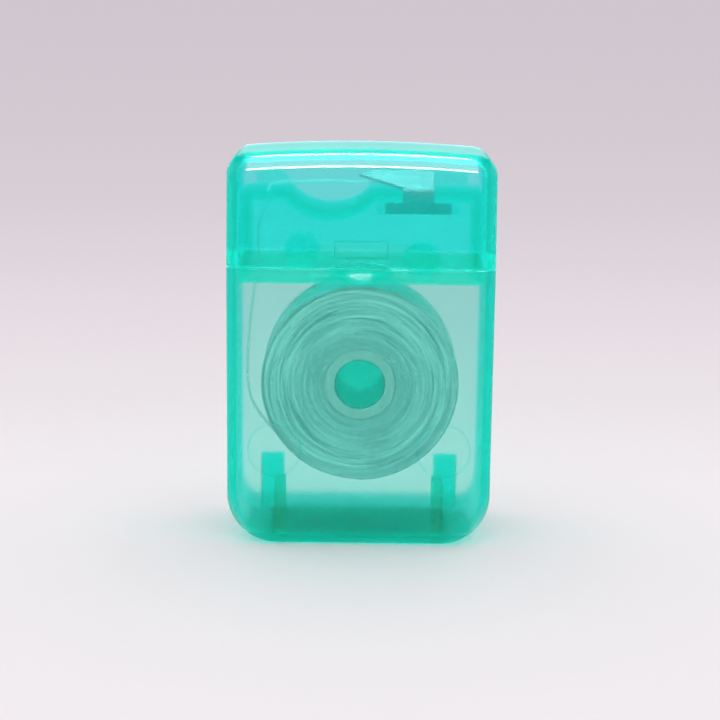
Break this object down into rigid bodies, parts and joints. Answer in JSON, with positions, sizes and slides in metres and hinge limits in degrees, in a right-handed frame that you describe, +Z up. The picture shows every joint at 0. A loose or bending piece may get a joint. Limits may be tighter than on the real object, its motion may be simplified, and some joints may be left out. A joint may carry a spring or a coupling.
{
  "type": "dental floss dispenser",
  "caption": "Flat flip-top floss box: a clear tinted case and hinged lid round a snap-in insert with a steel cutter, and a spool of floss that turns on the insert's spindle.",
  "frame": {"origin": "centre of the base, on the surface that the box stands on", "axes": "+Z up, towards the lid; the front, with the thumb notch, faces -Y; +X is the side where the cutter is"},
  "size_m": [0.037, 0.018, 0.0555],
  "materials": {
    "tinted_plastic": "clear teal polypropylene, polished mould",
    "insert_plastic": "clear teal polypropylene, polished mould",
    "cutter_steel": "rolled stainless strip",
    "core_plastic": "satin",
    "floss": "waxed nylon thread, close wound"
  },
  "bodies": {
    "box": {"case": "tinted_plastic", "living_hinge": "tinted_plastic", "insert": "insert_plastic", "cutter": "cutter_steel", "floss_strand": "floss"},
    "flip_lid": {"lid": "tinted_plastic"},
    "spool": {"spool_core": "core_plastic", "floss_roll": "floss", "floss_turns": "floss"}
  },
  "joints": [
    {"name": "lid_hinge", "type": "hinge", "parent": "box", "child": "flip_lid", "pos_m": [0, 0.009, 0.0393], "axis": [-1, 0, 0], "range_deg": [0, 165], "deforming": ["living_hinge"]},
    {"name": "spool_spin", "type": "hinge", "parent": "box", "child": "spool", "pos_m": [0, 0, 0.0227], "axis": [0, 1, 0], "continuous": true}
  ]
}
